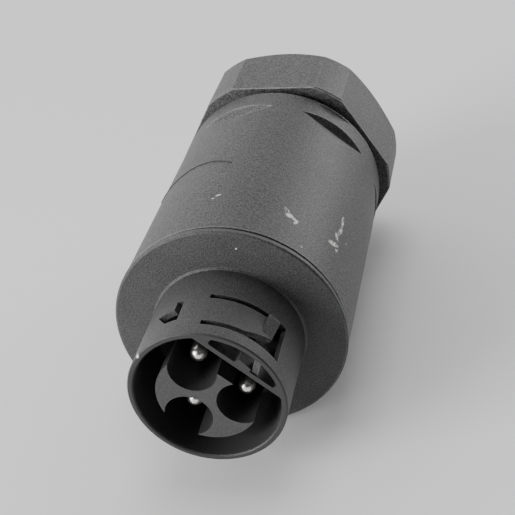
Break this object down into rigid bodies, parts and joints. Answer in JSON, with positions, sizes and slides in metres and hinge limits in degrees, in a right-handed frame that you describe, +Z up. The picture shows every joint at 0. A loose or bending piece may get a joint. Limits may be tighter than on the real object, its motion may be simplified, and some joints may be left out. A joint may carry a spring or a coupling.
{
  "type": "inline ac cable connector",
  "caption": "Inline AC cable connector, male side: keyed sleeve with latch and recessed pins, flanged housing with wrench scoops, and a hexagonal cable gland nut.",
  "frame": {"origin": "centre of the bounding box on the surface that the connector lies on", "axes": "+Y along the connector's axis from the mating end to the gland nut, +Z up, square to the nut's upper flat, +X to the right seen from the mating end"},
  "size_m": [0.039, 0.0792, 0.036],
  "materials": {
    "housing_plastic": "fine matte moulded black plastic",
    "insert_plastic": "smooth matte black plastic",
    "seal_rubber": "soft black rubber",
    "contact_metal": "turned and silver plated",
    "screw_steel": "zinc plated steel"
  },
  "bodies": {
    "housing": {"front_housing": "housing_plastic", "contact_insert": "insert_plastic", "insert_seal": "seal_rubber", "housing_seal": "seal_rubber", "contact_earth": "contact_metal", "contact_line": "contact_metal", "contact_neutral": "contact_metal", "clamp_plate_earth": "screw_steel", "clamp_plate_line": "screw_steel", "clamp_plate_neutral": "screw_steel", "terminal_screw_earth": "screw_steel", "terminal_screw_line": "screw_steel", "terminal_screw_neutral": "screw_steel", "terminal_carrier": "insert_plastic", "insert_clip": "screw_steel", "wire_guide": "insert_plastic", "rear_housing": "housing_plastic"},
    "clamp": {"clamping_cage": "insert_plastic", "cable_seal": "seal_rubber"},
    "nut": {"gland_nut": "housing_plastic"}
  },
  "joints": [
    {"name": "gland_travel", "type": "slide", "parent": "housing", "child": "clamp", "axis": [0, 1, 0], "range_m": [0, 0.00751]},
    {"name": "gland_turn", "type": "hinge", "parent": "clamp", "child": "nut", "pos_m": [0, 0.03, 0.018], "axis": [0, 1, 0], "range_deg": [0, 1800]}
  ],
  "couplings": [
    {"joint": "gland_travel", "follows": "gland_turn", "m_per_rad": 0.00023873}
  ]
}
